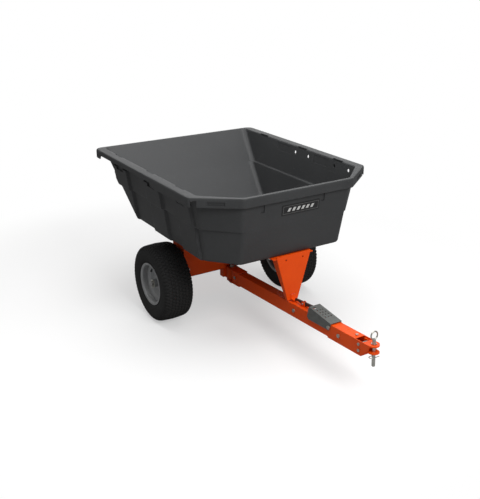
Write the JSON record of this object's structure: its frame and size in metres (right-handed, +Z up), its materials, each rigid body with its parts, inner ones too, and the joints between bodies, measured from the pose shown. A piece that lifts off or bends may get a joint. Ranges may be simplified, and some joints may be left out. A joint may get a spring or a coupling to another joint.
{
  "type": "tow behind dump cart",
  "caption": "Tow-behind garden dump cart: a chamfered moulded tub that tips about its axle, two pneumatic wheels and a swivelling tongue with a foot-pedal latch and a clevis hitch.",
  "frame": {"origin": "centre of the cart's footprint on the ground", "axes": "+X forward to the hitch, +Y to the cart's left, +Z up"},
  "size_m": [1.7743, 1.013, 0.8109],
  "materials": {
    "tub_plastic": "moulded polyethylene, fine texture",
    "plate_black": "satin",
    "frame_orange": "gloss powder coat",
    "pedal_steel": "grey passivated",
    "latch_dark": "dark satin",
    "zinc": "zinc plated",
    "axle_steel": "bright drawn",
    "tyre": "matt rubber",
    "rim_silver": "silver paint",
    "bush_nylon": "nylon",
    "valve_rubber": "matt"
  },
  "bodies": {
    "axle": {"axle_shaft": "axle_steel", "swivel_block": "frame_orange", "axle_lock_bolt": "zinc", "kingpin": "zinc", "kingpin_nut": "zinc", "thrust_washers": "bush_nylon", "axle_spacers": "axle_steel", "axle_washers": "zinc", "split_pins": "zinc"},
    "tub": {"tub_shell": "tub_plastic", "name_plate": "plate_black", "tub_bolts": "zinc", "tub_nuts": "zinc", "axle_saddle": "frame_orange", "left_hanger": "frame_orange", "right_hanger": "frame_orange", "hanger_bushes": "bush_nylon", "hanger_bolts": "zinc", "strut": "frame_orange", "strut_bolts": "zinc", "strut_nuts": "zinc", "latch_striker": "latch_dark"},
    "right_wheel": {"right_tyre": "tyre", "right_rim": "rim_silver", "right_wheel_disc": "rim_silver", "right_hub": "rim_silver", "right_hub_bushes": "bush_nylon", "right_valve": "valve_rubber"},
    "left_wheel": {"left_tyre": "tyre", "left_rim": "rim_silver", "left_wheel_disc": "rim_silver", "left_hub": "rim_silver", "left_hub_bushes": "bush_nylon", "left_valve": "valve_rubber"},
    "tongue": {"yoke_top_plate": "frame_orange", "yoke_bottom_plate": "frame_orange", "tongue_channel": "frame_orange", "tongue_cover": "frame_orange", "drawbar_channel": "frame_orange", "drawbar_cover": "frame_orange", "cover_bolt": "zinc", "hitch_clevis": "frame_orange", "tongue_bolts": "zinc", "clevis_bolts": "zinc", "pedal_pivot_bolt": "zinc", "pedal_pivot_nut": "zinc", "pawl_bracket": "latch_dark", "pawl_pin": "zinc"},
    "pedal": {"foot_pedal": "pedal_steel"},
    "pawl": {"latch_pawl": "latch_dark"},
    "hitch_pin": {"hitch_pin": "zinc"},
    "clip": {"hairpin_clip": "zinc"}
  },
  "joints": [
    {"name": "right_wheel_spin", "type": "hinge", "parent": "axle", "child": "right_wheel", "pos_m": [-0.32918, -0.3965, 0.203], "axis": [0, 1, 0], "continuous": true},
    {"name": "left_wheel_spin", "type": "hinge", "parent": "axle", "child": "left_wheel", "pos_m": [-0.32918, 0.3965, 0.203], "axis": [0, 1, 0], "continuous": true},
    {"name": "tub_dump", "type": "hinge", "parent": "axle", "child": "tub", "pos_m": [-0.32918, 0, 0.203], "axis": [0, -1, 0], "range_deg": [0, 55]},
    {"name": "tongue_swivel", "type": "hinge", "parent": "axle", "child": "tongue", "pos_m": [-0.28418, 0, 0.1749], "axis": [0, 0, 1], "range_deg": [-45, 45]},
    {"name": "pedal_press", "type": "hinge", "parent": "tongue", "child": "pedal", "pos_m": [0.59651, 0, 0.23485], "axis": [0, -1, 0], "range_deg": [0, 8], "stiffness_Nm_per_rad": 20, "springref_deg": -8.59},
    {"name": "latch_release", "type": "hinge", "parent": "tongue", "child": "pawl", "pos_m": [0.36931, 0, 0.25378], "axis": [0, 1, 0], "range_deg": [0, 14.4]},
    {"name": "pin_lift", "type": "slide", "parent": "tongue", "child": "hitch_pin", "axis": [-0.0489, 0, 0.9988], "range_m": [0, 0.008]},
    {"name": "clip_pull", "type": "slide", "parent": "hitch_pin", "child": "clip", "axis": [0, -1, 0], "range_m": [0, 0.05]}
  ],
  "couplings": [
    {"joint": "latch_release", "follows": "pedal_press", "ratio": 1.8}
  ]
}
